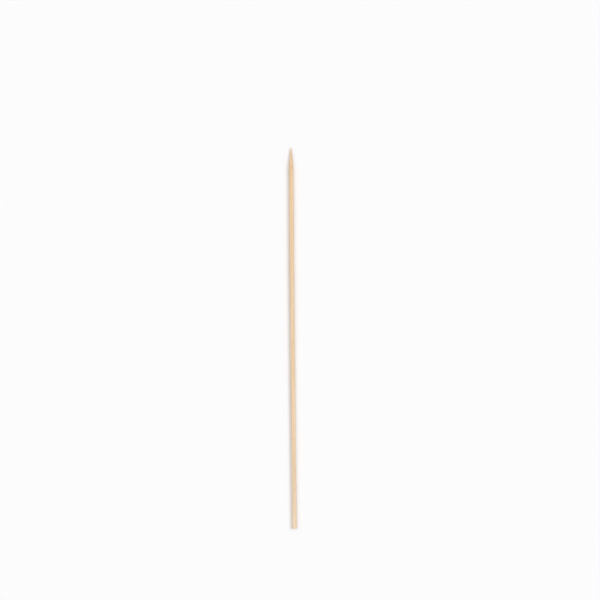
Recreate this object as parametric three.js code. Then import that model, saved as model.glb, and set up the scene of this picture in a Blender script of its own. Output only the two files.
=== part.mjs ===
// Round bamboo skewer for grilled and takeaway food: one stick, sawn square at one end and ground
// to a point at the other.
// Sizes are in millimetres. The stick lies along +Y with its point towards +Y, and the origin is the
// centre of the sawn end.

import * as THREE from 'three';

// Driving dimensions
const skewerLength = 250; // from the sawn end to the tip
const shankDiameter = 3; // of the round rod that the skewer is cut from
const pointLength = 14; // from the tip back to the corner where the flank and the rod would meet
const tipDiameter = 0.45; // of the blunt ball in which the point ends
const flankCrown = 0.05; // how far the ground flank stands out of a straight cone, halfway along
const shoulderRadius = 60; // rounding of the corner between the rod and the flank
const endRounding = 0.15; // radius that tumbling leaves on the edge of the sawn end

// Facets
const sidesAround = 48;
const longestFacet = 12;
const endSteps = 3;
const shoulderSteps = 6;
const flankSteps = 14;
const tipSteps = 4;

const shankRadius = shankDiameter / 2;
const tipRadius = tipDiameter / 2;
const alongAxis = Math.PI / 2;

// The profile is drawn in the plane of radius (x) against length (y), and turned about the length.
const corner = new THREE.Vector2(shankRadius, skewerLength - pointLength);
const tipCentre = new THREE.Vector2(0, skewerLength - tipRadius);
const endCentre = new THREE.Vector2(shankRadius - endRounding, endRounding);

// The flank is one shallow arc. It passes through the corner and wraps the tip ball, so its centre is
// one flank radius from the corner, and one flank radius less the ball's from the ball's centre.
function flankCircle() {
  const chord = tipCentre.clone().sub(corner);
  const radius = chord.lengthSq() / (8 * flankCrown);
  const cosine = (radius ** 2 + chord.lengthSq() - (radius - tipRadius) ** 2)
    / (2 * radius * chord.length());
  const towardsCentre = chord.normalize().rotateAround(new THREE.Vector2(), Math.acos(cosine));
  return { radius, centre: corner.clone().addScaledVector(towardsCentre, radius) };
}

// The shoulder's arc touches the rod and the flank from inside: its centre is one shoulder radius
// below the rod's surface, and one flank radius less the shoulder's from the flank's centre.
function shoulderCentreInside(flank) {
  const across = shankRadius - shoulderRadius;
  const apart = flank.radius - shoulderRadius;
  const along = Math.sqrt(apart ** 2 - (across - flank.centre.x) ** 2);
  return new THREE.Vector2(across, flank.centre.y + along);
}

// Points of an arc about a centre, between two directions of its outward normal.
function arcPoints(centre, radius, from, to, steps) {
  return new THREE.ArcCurve(centre.x, centre.y, radius, from, to, false).getPoints(steps);
}

// Points strictly between the ends of a straight stretch, so that no facet on it is longer than asked.
function straightPoints(start, end) {
  const steps = Math.ceil(start.distanceTo(end) / longestFacet);
  return Array.from({ length: steps - 1 }, (_, i) => start.clone().lerp(end, (i + 1) / steps));
}

// From the rod's side to the tip the profile is a chain of tangent arcs. The outward normal turns
// steadily from square to the length to along it, and each arc takes it on from where the last ended.
function skewerProfile() {
  const flank = flankCircle();
  const shoulderCentre = shoulderCentreInside(flank);
  const shoulderEnds = shoulderCentre.clone().sub(flank.centre).angle();
  const flankEnds = tipCentre.clone().sub(flank.centre).angle();

  const endEdge = arcPoints(endCentre, endRounding, -alongAxis, 0, endSteps);
  const shoulder = arcPoints(shoulderCentre, shoulderRadius, 0, shoulderEnds, shoulderSteps);
  const side = arcPoints(flank.centre, flank.radius, shoulderEnds, flankEnds, flankSteps);
  const tip = arcPoints(tipCentre, tipRadius, flankEnds, alongAxis, tipSteps);
  const shank = straightPoints(endEdge.at(-1), shoulder[0]);

  const axisAtEnd = new THREE.Vector2(0, 0);
  const axisAtTip = new THREE.Vector2(0, skewerLength);
  return [
    axisAtEnd, ...endEdge, ...shank, ...shoulder, ...side.slice(1), ...tip.slice(1, -1), axisAtTip,
  ];
}

const bamboo = new THREE.MeshStandardMaterial({ color: 0xe9cda8, roughness: 0.6, metalness: 0 });

const skewer = new THREE.Mesh(new THREE.LatheGeometry(skewerProfile(), sidesAround), bamboo);
skewer.name = 'skewer';

const part = new THREE.Group();
part.add(skewer);

export default part;
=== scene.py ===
# A round bamboo skewer lying on a pale floor, seen from straight above with its point upwards.
import math

import bpy
import numpy as np
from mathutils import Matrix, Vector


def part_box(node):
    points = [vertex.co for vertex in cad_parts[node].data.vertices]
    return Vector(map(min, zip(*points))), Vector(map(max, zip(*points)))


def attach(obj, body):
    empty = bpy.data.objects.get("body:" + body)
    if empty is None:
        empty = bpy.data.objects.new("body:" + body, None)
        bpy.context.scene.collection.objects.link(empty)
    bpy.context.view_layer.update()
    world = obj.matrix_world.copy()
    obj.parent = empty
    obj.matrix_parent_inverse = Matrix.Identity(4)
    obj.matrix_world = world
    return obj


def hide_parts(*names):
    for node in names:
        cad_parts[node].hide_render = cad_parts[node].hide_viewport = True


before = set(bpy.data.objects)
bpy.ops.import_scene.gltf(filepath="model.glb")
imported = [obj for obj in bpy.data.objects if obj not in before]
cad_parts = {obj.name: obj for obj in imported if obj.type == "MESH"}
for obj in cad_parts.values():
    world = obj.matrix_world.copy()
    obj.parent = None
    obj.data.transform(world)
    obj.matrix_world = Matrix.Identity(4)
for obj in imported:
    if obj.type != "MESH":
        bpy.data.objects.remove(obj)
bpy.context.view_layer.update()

mm = 0.001

# The stick's sizes. The CAD part's box gives the length and thickness, and the rest repeat the CAD's.
box_low, box_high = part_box("skewer")
LENGTH = box_high.y - box_low.y
RADIUS = (box_high.x - box_low.x) / 2
POINT_LENGTH = 14 * mm
TIP_RADIUS = 0.225 * mm
FLANK_CROWN = 0.05 * mm
SHOULDER_RADIUS = 60 * mm
END_ROUNDING = 0.15 * mm

# The surface grid. Its map for baking lays it out in strips that stand side by side, and lays the sawn
# face in a patch of its own beside them. Margins keep them apart.
SIDES_AROUND = 192
FACE_STEPS = 40
EDGE_STEPS = 6
SHANK_STEPS = 286
SHOULDER_STEPS = 34
FLANK_STEPS = 110
TIP_STEPS = 12
BAKE_STRIPS = 5
STRIP_MARGIN = 0.02
FACE_PATCH = 0.1
PATCH_FILL = 0.9

# How the culm's fibre bundles lie in the stick, in rows that draw closer and finer towards the side
# where the skin was. A bundle is drawn out towards the skin, its rim is soft, and pith parts it from
# the next one where they are almost equally near. The seed settles everything random in the stick.
GRAIN_SEED = 250
SKIN_DIRECTION = math.radians(12)
PITCH_IN_PITH = 0.52 * mm
PITCH_AT_SKIN = 0.27 * mm
PITCH_SPAN = (-1.6 * RADIUS, 1.3 * RADIUS)
ROW_SPACING = 1.15
ROW_SCATTER = 0.25
SCATTER_REACH = 3.4 * mm
BUNDLE_SHARE = 0.31
BUNDLE_SIZES = (0.62, 1.2)
BUNDLE_STRETCH = 1.25
BUNDLE_RIM = (0.55, 1.25)
PITH_BETWEEN = (0.4, 0.9)
SECTION_PARTS = 24

# The grain leans as it runs along the stick, and wanders: reach, waves in the length and start
GRAIN_SLOPE = (0.0042, -0.0026)
WANDER_ACROSS = (0.10 * mm, 1.3, 0.1)
WANDER_DEEP = (0.07 * mm, 2.1, 0.4)

# Streaks: the finest and coarsest across the grain, and the shortest and longest along it
STREAK_WAVES = 28
FINE_STREAKS = (0.10 * mm, 0.45 * mm, 14 * mm, 90 * mm)
BROAD_STREAKS = (0.7 * mm, 2.2 * mm, 60 * mm, 400 * mm)
TIP_STREAKS = (0.22 * mm, 0.6 * mm, 0.5 * mm, 2.0 * mm)

# Natural bend, and how far the stick is from round. An oval has its count of high sides, their
# first direction, how far that turns along the stick, and its share.
BOW = 0.2 * mm
OUT_OF_ROUND = 0.014 * mm
OVALS = ((2, 0.6, 2.0, 1.0), (3, 1.9, -3.1, 0.6))

# Depth of the relief that the fibres leave on the shank and where they are cut through, the height of
# the smooth stick between pith and fibre, and the radius below which relief fades out at the tip
SHANK_RELIEF = 0.010 * mm
CUT_RELIEF = 0.022 * mm
STREAK_RELIEF = 0.005 * mm
SMOOTH_LEVEL = 0.5
POLE_FADE = 0.35 * RADIUS

# Grooves where a single fibre was pulled out of the shank
TORN_GRAINS = 34
TORN_DEPTH = 0.026 * mm
TORN_HALF_LENGTHS = (1.5 * mm, 7.0 * mm)
TORN_HALF_WIDTHS = (0.035 * mm, 0.09 * mm)
TORN_PLACES = (0.01 * LENGTH, 0.97 * LENGTH)
TORN_STRENGTHS = (0.5, 1.0)

# Marks of the saw and of the grinding wheel, and the directions of the outline's normal between
# which the sawn face ends and the ground point begins
SAW_PITCH = 0.17 * mm
SAW_RELIEF = 0.008 * mm
SAW_DIRECTION = 0.5
SAW_WOBBLE = 0.8
SAWN_NORMALS = (-0.9, -0.3)
GRIND_PITCH = 0.31 * mm
GRIND_RELIEF = 0.003 * mm
GRIND_WOBBLE = 1.3
GRIND_TURNS = 2
GROUND_NORMALS = (0, 0.06)

# Chips and burrs on the sawn edge
EDGE_NICKS = 30
NICK_DEPTHS = (-0.055 * mm, 0.035 * mm)
NICK_WIDTHS = (0.04 * mm, 0.17 * mm)

# The tip is frayed over a short length and broken off slightly aslant
FRAY_LENGTH = 1.4 * mm
FRAY_DEPTH = 0.013 * mm
BREAK_DEPTH = 0.03 * mm
BREAK_SLOPE = (0.30, 0.18)

# Painted highlight along the shank: paler bands, drawn as pith, on the upper right and upper left where
# the two lamps fall. Each has its way round to the middle, its half width and how far it lifts the broad
# tone
PAINTED_HIGHLIGHT_BANDS = ((math.radians(42), 0.45 * mm, 3.6), (math.radians(120), 0.40 * mm, 1.6))

# How much the bundles and the fine streaks change the tone, how strongly the saw's ridges are painted
# into it as light and shade, and the skin side's reach
BUNDLE_TONE = 0.5
STREAK_TONE = 0.25
SAW_PAINTED_SHADING = 1.0
SKIN_SPAN = (-1.2 * RADIUS, 1.2 * RADIUS)

# Colours as they look, from 0 to 255
PITH = (249, 225, 195)
FIBRE = (220, 181, 130)
SKIN_TINT = (240, 204, 148)
POINT_TINT = (236, 193, 136)
HAIRLINE = (158, 112, 68)
SAWN_TINT = (220, 186, 140)
SAWN_FIBRE = (158, 110, 64)
VESSEL_HOLE = (84, 56, 34)

# Noises of the shader: how wide and how long a blotch is, and the detail in it. A noise's colour lies
# around a middle grey.
RIPPLE = (0.11 * mm, 5.0 * mm, 2.0)
FINE_GRAIN = (0.04 * mm, 3.0 * mm, 3.0)
HAIR_GRAIN = (0.055 * mm, 7.0 * mm, 1.0)
THREAD_GRAIN = (0.026 * mm, 16.0 * mm, 0.0)
PORE_GRAIN = (0.034 * mm, 0.5 * mm, 0.0)
NOISE_MIDDLE = (0.5, 0.5, 0.5)

# A bundle's own pattern, in bundle radii
RIPPLE_REACH = 0.55
VESSEL_OFFSETS = ((0.40, -0.08, 0), (-0.40, -0.08, 0), (0, 0.46, 0))

# Ranges of the shader: two numbers, and the two that they are carried to
SHEATH_EDGE = (1.2, 0.8, 0.0, 1.0)
SHEATH_MIDDLE = (0.15, 0.55, 0.65, 1.0)
SHEATH_LOBES = (0.1, 0.7, 0.72, 1.0)
INSIDE_BUNDLE = (0.0, 0.25, 0.0, 1.0)
VESSEL_RIM = (0.27, 0.15, 0.0, 1.0)
FIBRE_STRENGTH = (-1.0, 1.0, 0.45, 1.0)
SKIN_SHARE = (0.2, 1.0, 0.0, 0.30)
POINT_SHARE = (0.1 * LENGTH, 0.97 * LENGTH, 0.0, 0.5)
BROAD_TONE_AND_HIGHLIGHT_SHADE = (-1.6, 4.8, 0.90, 1.20)
TONE_SHADE = (-0.8, 0.8, 0.94, 1.04)
FINE_SHADE = (0.3, 0.7, 0.93, 1.05)
HAIR_DARK = (0.62, 0.74, 0.0, 0.42)
THREAD_DARK = (0.66, 0.78, 0.0, 0.34)
PORE_DARK = (0.70, 0.78, 0.0, 0.5)
SHEATH_ROUGHNESS = (0.0, 1.0, 0.50, 0.42)
FINE_ROUGHNESS = (0.3, 0.7, -0.04, 0.06)

# Sockets of a colour mix, which has several of each name: the factor, both colours and the result
MIX_FACTOR, MIX_FIRST, MIX_SECOND, MIX_RESULT = 0, 6, 7, 2

# Strengths of the shader
TORN_DARK = 0.45
VESSEL_DARK = 0.45
SAWN_SHARE = 0.4
DOT_SHARE = 0.75
HOLE_SHARE = 0.5
GROUND_DULLS = 0.6
CUT_ROUGHNESS = 0.22
BUMP_DISTANCE = 0.012 * mm
BUMP_STRENGTH = 0.6
HAIR_DEPTH = 1.2

# The room: what the floor and the walls give off as light, and the whites that are seen. A lamp
# has its name, its energy, and its spread and turn in degrees.
FLOOR_HALF = 6.0
FLOOR_LIT = (0.72, 0.72, 0.72, 1)
FLOOR_SEEN = (0.97, 0.97, 0.97, 1)
FLOOR_ROUGHNESS = 0.9
ROOM_LIT = (0.53, 0.53, 0.54, 1)
ROOM_SEEN = (0.955, 0.955, 0.955, 1)
LAMPS = (("main_light", 1.0, 30, (-12, 36, 0)), ("fill_light", 0.79, 55, (-6, -26, 0)))

# The picture: where the stick's middle line starts and ends in it, in pixels, and the camera's
# lens and sensor, in millimetres
PICTURE_SIDE = 600
BUTT_PIXEL = (294.4, 528.5)
TIP_PIXEL = (290.9, 147.5)
LENS, SENSOR = 100.0, 36.0
NEAREST, FURTHEST = 0.01, 50


def linear(colour):
    """A colour from 0 to 255 as the shader's linear numbers, with an alpha of 1: a screen's usual
    curve, straight near black and ((share + 0.055) / 1.055)^2.4 above it."""
    share = np.array(colour, float) / 255
    curve = np.where(share <= 0.04045, share / 12.92, ((share + 0.055) / 1.055) ** 2.4)
    return (*curve, 1.0)


def smooth_step(span, value):
    """0 below the span's first value, 1 above its last, and 3t^2 - 2t^3 between them."""
    low, high = span
    t = np.clip((value - low) / (high - low), 0, 1)
    return t * t * (3 - 2 * t)


def arc(centre, radius, start, end, steps):
    """Points of a circle between two directions of its outward normal, as rows of radius, length
    along the stick and the normal's angle. A place in the profile's plane is a complex number."""
    angle = np.linspace(start, end, steps + 1)
    place = centre + radius * np.exp(1j * angle)
    return np.stack([place.real, place.imag, angle], axis=1)


def stick_profile():
    """Half of the stick's outline, from the middle of the sawn face to the tip: a flat face, its
    rounded edge, the straight shank, and tangent arcs for the shoulder, the flank and the tip.
    Each row holds the radius, the length along the stick and the angle of the outward normal."""
    corner = complex(RADIUS, LENGTH - POINT_LENGTH)
    tip_centre = complex(0, LENGTH - TIP_RADIUS)
    chord = tip_centre - corner
    flank_radius = abs(chord) ** 2 / (8 * FLANK_CROWN)
    reach = flank_radius - TIP_RADIUS
    cosine = (flank_radius**2 + abs(chord) ** 2 - reach**2) / (2 * flank_radius * abs(chord))
    flank_centre = corner + flank_radius * chord / abs(chord) * np.exp(1j * math.acos(cosine))

    across = RADIUS - SHOULDER_RADIUS
    along = math.sqrt((flank_radius - SHOULDER_RADIUS) ** 2 - (across - flank_centre.real) ** 2)
    shoulder_centre = complex(across, flank_centre.imag + along)
    shoulder_end = np.angle(shoulder_centre - flank_centre)
    flank_end = np.angle(tip_centre - flank_centre)

    edge_centre = complex(RADIUS - END_ROUNDING, END_ROUNDING)
    down, side, ahead = -math.pi / 2, 0, math.pi / 2
    face_radius = np.linspace(0, edge_centre.real, FACE_STEPS + 1)
    face = np.stack([face_radius, 0 * face_radius, 0 * face_radius + down], axis=1)
    edge = arc(edge_centre, END_ROUNDING, down, side, EDGE_STEPS)
    length = np.linspace(END_ROUNDING, shoulder_centre.imag, SHANK_STEPS + 1)
    shank = np.stack([0 * length + RADIUS, length, 0 * length], axis=1)
    shoulder = arc(shoulder_centre, SHOULDER_RADIUS, side, shoulder_end, SHOULDER_STEPS)
    flank = arc(flank_centre, flank_radius, shoulder_end, flank_end, FLANK_STEPS)
    tip = arc(tip_centre, TIP_RADIUS, flank_end, ahead, TIP_STEPS)
    return np.concatenate([face, edge[1:], shank[1:], shoulder[1:], flank[1:], tip[1:]])


def fibre_bundles(rng):
    """Middles, radii and tones of the fibre bundles in the stick's section. They lie in rows that
    draw closer towards the skin side, and each is moved at random by a share of its row's pitch."""
    rows, depth = [], -SCATTER_REACH
    while depth < SCATTER_REACH:
        share = smooth_step(PITCH_SPAN, depth)
        pitch = PITCH_IN_PITH + (PITCH_AT_SKIN - PITCH_IN_PITH) * share
        spread = np.arange(-SCATTER_REACH, SCATTER_REACH, pitch * ROW_SPACING)
        spread += rng.uniform(0, pitch)
        places = np.stack([0 * spread + depth, spread], axis=1)
        places += rng.uniform(-ROW_SCATTER, ROW_SCATTER, places.shape) * pitch
        radii = BUNDLE_SHARE * pitch * rng.uniform(*BUNDLE_SIZES, len(spread))
        rows.append(np.column_stack([places, radii]))
        depth += pitch
    bundles = np.concatenate(rows)
    middles = (bundles[:, 0] + 1j * bundles[:, 1]) * np.exp(1j * SKIN_DIRECTION)
    return middles, bundles[:, 2], rng.uniform(-1, 1, len(bundles))


def nearest_bundle(section, bundles):
    """For each place in the section, where it lies from the nearest bundle's middle, in bundle radii
    and with the skin side along the real axis, that bundle's tone, and how much further off the
    next bundle is. The places are taken in a few parts, so that the table of distances stays small."""
    middles, radii, tones = bundles
    skinwards = np.exp(-1j * SKIN_DIRECTION)
    inside, tone, lead = np.empty(len(section), complex), np.empty(len(section)), np.empty(len(section))
    for part in np.array_split(np.arange(len(section)), SECTION_PARTS):
        share = (section[part, None] - middles) * skinwards / radii
        share = share.real / BUNDLE_STRETCH + 1j * share.imag
        away = np.abs(share)
        first = away.argmin(axis=1)
        inside[part], tone[part] = share[np.arange(len(part)), first], tones[first]
        lead[part] = np.diff(np.partition(away, 1, axis=1)[:, :2], axis=1)[:, 0]
    return inside, tone, lead


def streaks(rng, section, length, sizes):
    """A sum of cosine waves, scaled to a spread of 1. Each runs almost along the stick, and its
    lengths across and along the grain are drawn evenly in scale from the four sizes."""
    finest, coarsest, shortest, longest = np.log(sizes)
    total = np.zeros(len(section))
    for _ in range(STREAK_WAVES):
        across, along = np.exp([rng.uniform(finest, coarsest), rng.uniform(shortest, longest)])
        heading = np.exp(1j * rng.uniform(0, 2 * math.pi))
        phase = (section * heading).real / across + length / along
        total += np.cos(2 * math.pi * (phase + rng.uniform()))
    return total / math.sqrt(STREAK_WAVES / 2)


def bell_around(angle, middle, half_width):
    """A bell around the stick, exp(-t^2), where t is the way round from its middle in half widths."""
    turn = np.angle(np.exp(1j * (angle - middle)))
    return np.exp(-((turn * RADIUS / half_width) ** 2))


def torn_grain(rng, angle, length):
    """Shallow troughs where a fibre was pulled out: each is a bell across the grain and runs out
    at both ends as 1 - t^2. The result is from 0 to about 1."""
    depth = np.zeros(len(length))
    for _ in range(TORN_GRAINS):
        middle = rng.uniform(*TORN_PLACES)
        run = np.clip(1 - ((length - middle) / rng.uniform(*TORN_HALF_LENGTHS)) ** 2, 0, 1)
        across = bell_around(angle, rng.uniform(0, 2 * math.pi), rng.uniform(*TORN_HALF_WIDTHS))
        depth = np.maximum(depth, across * run * rng.uniform(*TORN_STRENGTHS))
    return depth


def edge_nicks(rng, angle):
    """Chips, below 0, and burrs, above 0, on the sawn edge: a sum of bells of random place, width
    and height around it."""
    nicks = np.zeros(len(angle))
    for _ in range(EDGE_NICKS):
        bell = bell_around(angle, rng.uniform(0, 2 * math.pi), rng.uniform(*NICK_WIDTHS))
        nicks += rng.uniform(*NICK_DEPTHS) * bell
    return nicks


def waves_along(along, wave):
    """A sine along the stick, from its reach, its count of waves and the wave that it starts at."""
    reach, count, start = wave
    return reach * np.sin(2 * math.pi * (count * along + start))


def skewer_surface():
    """The whole skin of the stick on a grid of stations along its profile by angles around it. A
    point is its place on the smooth stick, moved along the outward normal by the relief."""
    rng = np.random.default_rng(GRAIN_SEED)
    profile = stick_profile()
    angles = np.arange(SIDES_AROUND) * 2 * math.pi / SIDES_AROUND
    stations = len(profile)
    radius = np.repeat(profile[:, 0], SIDES_AROUND)
    length = np.repeat(profile[:, 1], SIDES_AROUND)
    normal = np.repeat(profile[:, 2], SIDES_AROUND)
    angle = np.tile(angles, stations)

    # The grain leans and wanders through the stick, so the section slides over the bundles.
    along = length / LENGTH
    wander = waves_along(along, WANDER_ACROSS) + 1j * waves_along(along, WANDER_DEEP)
    section = radius * np.exp(1j * angle) - complex(*GRAIN_SLOPE) * length - wander

    bundles = fibre_bundles(rng)
    inside, tone, lead = nearest_bundle(section, bundles)
    fibre = (1 - smooth_step(BUNDLE_RIM, np.abs(inside))) * smooth_step(PITH_BETWEEN, lead)
    fine = streaks(rng, section, length, FINE_STREAKS)
    broad_tone_and_highlight = streaks(rng, section, length, BROAD_STREAKS)
    frayed = streaks(rng, section, length, TIP_STREAKS)
    torn = torn_grain(rng, angle, length)
    nicks = edge_nicks(rng, angle)

    # Which finish each place has
    sawn = 1 - smooth_step(SAWN_NORMALS, normal)
    ground = smooth_step(GROUND_NORMALS, normal)
    shank = (1 - sawn) * (1 - ground)
    edge = np.sin(2 * normal) ** 2 * (length < LENGTH / 2)
    tip = smooth_step((LENGTH - FRAY_LENGTH, LENGTH), length)

    # Painted highlight: bands drawn as paler pith brighten the upper sides of the shank, and are ground
    # away towards the point.
    broad_tone_and_highlight += shank * sum(lift * bell_around(angle, middle, half) for middle, half, lift in PAINTED_HIGHLIGHT_BANDS)

    # What the saw and the wheel left, and how far the stick is from round. What depends on the
    # angle fades out towards the tip, which is one point.
    oval = sum(s * np.cos(n * angle + first + turn * along) for n, first, turn, s in OVALS)
    saw = (section * np.exp(1j * SAW_DIRECTION)).real / SAW_PITCH
    saw = np.sin(2 * math.pi * saw + SAW_WOBBLE * fine)
    grind = np.sin(2 * math.pi * length / GRIND_PITCH + GRIND_WOBBLE * fine + GRIND_TURNS * angle)
    fades = np.clip(radius / POLE_FADE, 0, 1)
    turned = STREAK_RELIEF * fine + OUT_OF_ROUND * oval
    relief = shank * (SHANK_RELIEF * (fibre - SMOOTH_LEVEL) + turned - TORN_DEPTH * torn)
    cut = CUT_RELIEF * (fibre - SMOOTH_LEVEL) + turned
    relief += ground * fades * (cut + GRIND_RELIEF * grind)
    relief += sawn * (CUT_RELIEF * fibre + SAW_RELIEF * saw) + edge * nicks
    relief += tip * FRAY_DEPTH * (frayed - 1)

    radius = radius + relief * np.cos(normal)
    length = length + relief * np.sin(normal)
    bend = BOW * np.sin(math.pi * np.clip(along, 0, 1))
    x, z = radius * np.cos(angle) - bend, radius * np.sin(angle)
    broken = LENGTH - BREAK_DEPTH - BREAK_SLOPE[0] * x - BREAK_SLOPE[1] * z
    points = np.stack([x, np.minimum(length, broken), z], axis=1)

    values = {"fibre": fibre, "broad_tone_and_highlight": broad_tone_and_highlight, "torn": torn * shank}
    # On the sawn face, part of the tone is painted light and shade of the saw's ridges.
    values["tone"] = BUNDLE_TONE * tone + STREAK_TONE * fine + SAW_PAINTED_SHADING * sawn * saw
    values["ground"], values["sawn"] = ground, sawn
    values["skin"] = smooth_step(SKIN_SPAN, (section * np.exp(-1j * SKIN_DIRECTION)).real)
    values["across_bundle"], values["into_bundle"] = inside.imag, inside.real
    return points.reshape(stations, SIDES_AROUND, 3), values, profile


def grid_faces(stations, sides):
    """Corners of the faces of a closed grid, as station and side: quads between the rings, then a
    fan of triangles at each end. A side may be one past the last, which is the first again, or a
    half at the two ends, which are one point each."""
    ring, side = np.meshgrid(np.arange(1, stations - 2), np.arange(sides), indexing="ij")
    ring, side = ring.ravel(), side.ravel()
    quads = np.stack([ring, ring + 1, ring + 1, ring], axis=1)
    quad_sides = np.stack([side, side, side + 1, side + 1], axis=1)
    side = np.arange(sides)
    last = 0 * side + stations - 1
    fans = np.stack([0 * last, 0 * last + 1, 0 * last + 1], axis=1)
    fans = np.concatenate([fans, np.stack([last, last - 1, last - 1], axis=1)])
    fan_sides = np.stack([side + 0.5, side, side + 1], axis=1)
    fan_sides = np.concatenate([fan_sides, np.stack([side + 0.5, side + 1, side], axis=1)])
    return (quads, quad_sides), (fans, fan_sides)


def vertex_numbers(station, side, stations, sides):
    """Where a corner is in the list of points: one end, then the rings in turn, then the other end."""
    ring = 1 + (station - 1) * sides + side.astype(int) % sides
    return np.where(station == 0, 0, np.where(station == stations - 1, (stations - 2) * sides + 1, ring))


def ends_merged(grid):
    """A grid's values as a list, with the first and last stations as one value each."""
    return np.concatenate([grid[0, :1], grid[1:-1].reshape(-1, *grid.shape[2:]), grid[-1, :1]])


def bake_places(ring, side, profile, sides):
    """Where the corners of faces lie in the map for baking. The skin is unrolled and cut along its
    length into strips that stand side by side, and the sawn face stays round: its share of the
    radius turned by its angle, about the middle of a square patch. Places are complex numbers."""
    radius, length = profile[:, 0], profile[:, 1]
    walked = np.concatenate([[0], np.cumsum(np.hypot(np.diff(radius), np.diff(length)))])
    walked = (walked - walked[FACE_STEPS]) / (walked[-1] - walked[FACE_STEPS]) * BAKE_STRIPS
    strip = np.floor(walked[ring].mean(axis=1, keepdims=True)).clip(0, BAKE_STRIPS - 1)
    around = STRIP_MARGIN + (1 - 2 * STRIP_MARGIN) * (1 - side / sides)
    along = STRIP_MARGIN + (1 - 2 * STRIP_MARGIN) * (walked[ring] - strip)
    unrolled = (strip + around) / BAKE_STRIPS * (1 - FACE_PATCH) + 1j * along

    half = FACE_PATCH / 2
    reach = half * PATCH_FILL * radius[ring] / radius[FACE_STEPS]
    patch = complex(1 - half, half) + reach * np.exp(2j * math.pi * side / sides)
    place = np.where(ring.max(axis=1, keepdims=True) <= FACE_STEPS, patch, unrolled)
    return np.stack([place.real, place.imag], axis=2).reshape(-1, 2)


def stick_mesh(points, values, profile):
    """The closed skin of the stick, with its values at each point and a map for baking."""
    stations, sides = points.shape[:2]
    corners = grid_faces(stations, sides)
    faces = [vertex_numbers(ring, side, stations, sides).tolist() for ring, side in corners]
    mesh = bpy.data.meshes.new("bamboo_stick")
    mesh.from_pydata(ends_merged(points).tolist(), [], faces[0] + faces[1])
    mesh.polygons.foreach_set("use_smooth", np.ones(len(mesh.polygons), bool))
    for label, value in values.items():
        kept = ends_merged(value.reshape(stations, sides))
        mesh.attributes.new(label, "FLOAT", "POINT").data.foreach_set("value", kept)

    places = np.concatenate([bake_places(ring, side, profile, sides) for ring, side in corners])
    mesh.uv_layers.new(name="OFBake").uv.foreach_set("vector", places.ravel())
    return mesh


def shader_node(tree, kind, inputs=None, **settings):
    """A node with its settings. An input given a socket is linked to it, and any other is set."""
    node = tree.nodes.new(kind)
    for name, value in settings.items():
        setattr(node, name, value)
    for name, value in (inputs or {}).items():
        if isinstance(value, bpy.types.NodeSocket):
            tree.links.new(value, node.inputs[name])
        else:
            node.inputs[name].default_value = value
    return node


def blend_colours(tree, factor, first, second, how="MIX"):
    """Two colours mixed, or multiplied, by a factor."""
    inputs = {MIX_FACTOR: factor, MIX_FIRST: first, MIX_SECOND: second}
    mix = shader_node(tree, "ShaderNodeMix", inputs, data_type="RGBA", blend_type=how)
    return mix.outputs[MIX_RESULT]


def carried(tree, value, span):
    """A value carried from one range to another, and held at its ends."""
    names = ("From Min", "From Max", "To Min", "To Max")
    inputs = {"Value": value, **dict(zip(names, span))}
    return shader_node(tree, "ShaderNodeMapRange", inputs).outputs["Result"]


def joined(tree, operation, *values):
    """Numbers joined by one operation, from the first on."""
    total, *others = values
    for value in others:
        inputs = {0: total, 1: value}
        total = shader_node(tree, "ShaderNodeMath", inputs, operation=operation).outputs[0]
    return total


def vector_sum(tree, operation, first, second, result="Vector"):
    """Two vectors joined by one operation."""
    inputs = {0: first, 1: second}
    return shader_node(tree, "ShaderNodeVectorMath", inputs, operation=operation).outputs[result]


def attribute(tree, name):
    """A number that the mesh holds at each of its points."""
    return shader_node(tree, "ShaderNodeAttribute", attribute_name=name).outputs["Fac"]


def grain_noise(tree, grain, result="Fac"):
    """Noise drawn out along the stick, from how wide and how long a blotch is and its detail."""
    across, along, detail = grain
    coordinates = shader_node(tree, "ShaderNodeTexCoord").outputs["Object"]
    scale = (1 / across, 1 / along, 1 / across)
    drawn_out = shader_node(tree, "ShaderNodeMapping", {"Vector": coordinates, "Scale": scale})
    inputs = {"Vector": drawn_out.outputs["Vector"], "Scale": 1.0, "Detail": detail}
    return shader_node(tree, "ShaderNodeTexNoise", inputs).outputs[result]


def bundle_pattern(tree):
    """How each fibre bundle is built, drawn in the bundle's own coordinates, where 1 is its radius:
    a browner sheath in four lobes round a paler middle, and three open vessels, one on each side
    and one towards the skin. Noise makes the outlines uneven. Returns the strength of the sheath
    and of the vessels."""
    inputs = {"X": attribute(tree, "across_bundle"), "Y": attribute(tree, "into_bundle")}
    here = shader_node(tree, "ShaderNodeCombineXYZ", inputs).outputs[0]
    ripple = vector_sum(tree, "SUBTRACT", grain_noise(tree, RIPPLE, "Color"), NOISE_MIDDLE)
    ripple = vector_sum(tree, "MULTIPLY", ripple, (RIPPLE_REACH, RIPPLE_REACH, 0))
    here = vector_sum(tree, "ADD", here, ripple)
    away = vector_sum(tree, "LENGTH", here, (0, 0, 0), "Value")
    parts = shader_node(tree, "ShaderNodeSeparateXYZ", {0: here}).outputs
    squares = [joined(tree, "MULTIPLY", parts[i], parts[i]) for i in (0, 1)]
    lobes = joined(tree, "ABSOLUTE", joined(tree, "SUBTRACT", *squares), 0.0)
    lobes = joined(tree, "DIVIDE", lobes, joined(tree, "ADD", *squares))
    inside = carried(tree, attribute(tree, "fibre"), INSIDE_BUNDLE)
    middle = carried(tree, away, SHEATH_MIDDLE)
    edge = carried(tree, away, SHEATH_EDGE)
    sheath = joined(tree, "MULTIPLY", edge, middle, carried(tree, lobes, SHEATH_LOBES), inside)
    rims = [vector_sum(tree, "DISTANCE", here, offset, "Value") for offset in VESSEL_OFFSETS]
    vessels = joined(tree, "MAXIMUM", *(carried(tree, rim, VESSEL_RIM) for rim in rims))
    return sheath, joined(tree, "MULTIPLY", vessels, inside)


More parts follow.
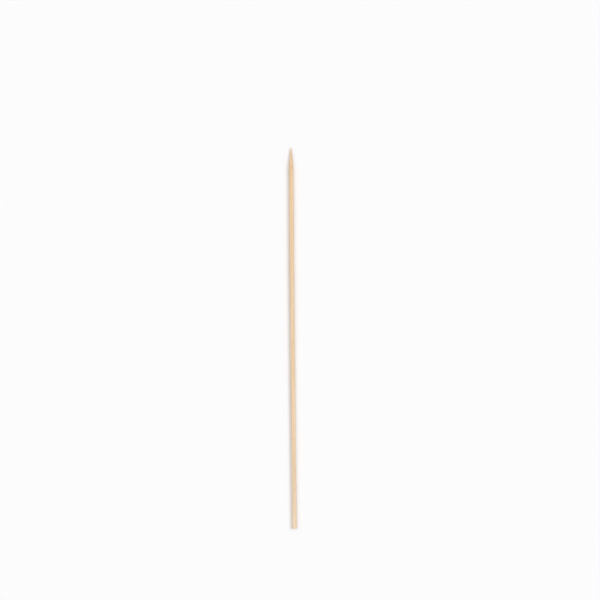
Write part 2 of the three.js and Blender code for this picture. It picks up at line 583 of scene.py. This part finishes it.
def bamboo_material():
    """Dry split bamboo: pale pith between browner fibre bundles, yellower on the skin side and
    towards the point, with open vessels, pores and dark hairlines along the grain, and a duller
    sawn end on which each bundle shows as a brown dot."""
    material = bpy.data.materials.new("bamboo")
    material.use_nodes = True
    tree = material.node_tree
    shader = tree.nodes["Principled BSDF"]
    labels = ("tone", "broad_tone_and_highlight", "skin", "torn", "ground", "sawn")
    tone, broad_tone_and_highlight, skin, torn, ground, sawn = (attribute(tree, label) for label in labels)
    sheath, vessels = bundle_pattern(tree)
    fine = grain_noise(tree, FINE_GRAIN)
    coordinates = shader_node(tree, "ShaderNodeTexCoord").outputs["Object"]
    along = shader_node(tree, "ShaderNodeSeparateXYZ", {"Vector": coordinates}).outputs["Y"]

    # Colour of the pith and the fibres, with the tints and shades that drift along the stick
    strength = joined(tree, "MULTIPLY", sheath, carried(tree, tone, FIBRE_STRENGTH))
    colour = blend_colours(tree, strength, linear(PITH), linear(FIBRE))
    colour = blend_colours(tree, carried(tree, skin, SKIN_SHARE), colour, linear(SKIN_TINT))
    colour = blend_colours(tree, carried(tree, along, POINT_SHARE), colour, linear(POINT_TINT))
    # The broad shade is partly random tone and partly the painted highlight bands on the upper sides.
    shades = ((broad_tone_and_highlight, BROAD_TONE_AND_HIGHLIGHT_SHADE), (tone, TONE_SHADE), (fine, FINE_SHADE))
    shade = joined(tree, "MULTIPLY", *(carried(tree, value, span) for value, span in shades))
    grey = shader_node(tree, "ShaderNodeCombineColor", {0: shade, 1: shade, 2: shade}).outputs[0]
    colour = blend_colours(tree, 1.0, colour, grey, "MULTIPLY")

    # The sawn end, and everything that is dark and thin
    face = joined(tree, "MULTIPLY", sawn, SAWN_SHARE)
    colour = blend_colours(tree, face, colour, linear(SAWN_TINT))
    dots = joined(tree, "MULTIPLY", strength, sawn, DOT_SHARE)
    colour = blend_colours(tree, dots, colour, linear(SAWN_FIBRE))
    pores = carried(tree, grain_noise(tree, PORE_GRAIN), PORE_DARK)
    hairs = joined(
        tree,
        "MAXIMUM",
        carried(tree, grain_noise(tree, HAIR_GRAIN), HAIR_DARK),
        carried(tree, grain_noise(tree, THREAD_GRAIN), THREAD_DARK),
        joined(tree, "MULTIPLY", pores, sheath),
        joined(tree, "MULTIPLY", torn, TORN_DARK),
        joined(tree, "MULTIPLY", vessels, VESSEL_DARK),
    )
    colour = blend_colours(tree, hairs, colour, linear(HAIRLINE))
    holes = joined(tree, "MULTIPLY", vessels, sawn, HOLE_SHARE)
    colour = blend_colours(tree, holes, colour, linear(VESSEL_HOLE))
    tree.links.new(colour, shader.inputs["Base Color"])

    # Fibres are polished a little, and the cut faces stay dull
    cut = joined(tree, "MAXIMUM", sawn, joined(tree, "MULTIPLY", ground, GROUND_DULLS))
    dulled = joined(tree, "MULTIPLY", cut, CUT_ROUGHNESS)
    rough = carried(tree, sheath, SHEATH_ROUGHNESS)
    rough = joined(tree, "ADD", rough, carried(tree, fine, FINE_ROUGHNESS), dulled)
    tree.links.new(rough, shader.inputs["Roughness"])

    # Relief finer than the mesh's own
    height = joined(tree, "SUBTRACT", fine, joined(tree, "MULTIPLY", hairs, HAIR_DEPTH))
    bump = {"Height": height, "Strength": BUMP_STRENGTH, "Distance": BUMP_DISTANCE}
    tree.links.new(shader_node(tree, "ShaderNodeBump", bump).outputs[0], shader.inputs["Normal"])
    return material


def make_skewer():
    """The stick, in place of the CAD's plain one."""
    mesh = stick_mesh(*skewer_surface())
    mesh.materials.append(bamboo_material())
    stick = bpy.data.objects.new("bamboo_stick", mesh)
    bpy.context.collection.objects.link(stick)
    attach(stick, "root")
    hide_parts("skewer")


def white_for_the_eye(tree, plain, seen):
    """One colour for light that bounces about, and another for what is seen, also in gloss or glass."""
    path = shader_node(tree, "ShaderNodeLightPath").outputs
    looks = [path[f"Is {kind} Ray"] for kind in ("Camera", "Glossy", "Transmission")]
    return blend_colours(tree, joined(tree, "MAXIMUM", *looks), plain, seen)


def make_floor():
    """A wide pale floor that the stick lies on."""
    corners = [(-1, -1), (1, -1), (1, 1), (-1, 1)]
    mesh = bpy.data.meshes.new("floor")
    places = [(x * FLOOR_HALF, y * FLOOR_HALF, -RADIUS) for x, y in corners]
    mesh.from_pydata(places, [], [(0, 1, 2, 3)])
    floor = bpy.data.objects.new("floor", mesh)
    bpy.context.collection.objects.link(floor)
    material = bpy.data.materials.new("pale_floor")
    material.use_nodes = True
    tree = material.node_tree
    shader = tree.nodes["Principled BSDF"]
    shader.inputs["Roughness"].default_value = FLOOR_ROUGHNESS
    shader.inputs["Specular IOR Level"].default_value = 0.0
    colour = white_for_the_eye(tree, FLOOR_LIT, FLOOR_SEEN)
    tree.links.new(colour, shader.inputs["Base Color"])
    mesh.materials.append(material)


def make_light():
    """A soft main light from above and to the right and a softer one from the left, in a plain
    bright room."""
    for name, energy, spread, turn in LAMPS:
        sun = bpy.data.lights.new(name, "SUN")
        sun.energy = energy
        sun.angle = math.radians(spread)
        lamp = bpy.data.objects.new(name, sun)
        lamp.rotation_euler = np.radians(turn)
        bpy.context.collection.objects.link(lamp)
    world = bpy.data.worlds.new("room")
    bpy.context.scene.world = world
    world.use_nodes = True
    tree = world.node_tree
    colour = white_for_the_eye(tree, ROOM_LIT, ROOM_SEEN)
    tree.links.new(colour, tree.nodes["Background"].inputs["Color"])
    bpy.context.scene.view_settings.view_transform = "Standard"


def make_camera():
    """A long lens straight above the stick, placed so that its middle line starts and ends at the
    two pixels above: the picture's scale is the stick's length over the pixels between them."""
    butt, tip = complex(*BUTT_PIXEL), complex(*TIP_PIXEL)
    metres_per_pixel = LENGTH / abs(tip - butt)
    distance = PICTURE_SIDE * metres_per_pixel * LENS / SENSOR
    lean = math.atan2(butt.real - tip.real, butt.imag - tip.imag)
    middle = (butt + tip) / 2 - complex(PICTURE_SIDE, PICTURE_SIDE) / 2
    right = np.array([math.cos(lean), -math.sin(lean)])
    up = np.array([math.sin(lean), math.cos(lean)])
    shift = (middle.real * right - middle.imag * up) * metres_per_pixel
    x, y = np.array([0, LENGTH / 2]) - shift
    data = bpy.data.cameras.new("camera")
    data.lens, data.sensor_width = LENS, SENSOR
    data.clip_start, data.clip_end = NEAREST, FURTHEST
    camera = bpy.data.objects.new("camera", data)
    camera.location = (x, y, distance)
    camera.rotation_euler = (0, 0, -lean)
    bpy.context.collection.objects.link(camera)
    bpy.context.scene.camera = camera


make_camera()
make_skewer()
make_floor()
make_light()
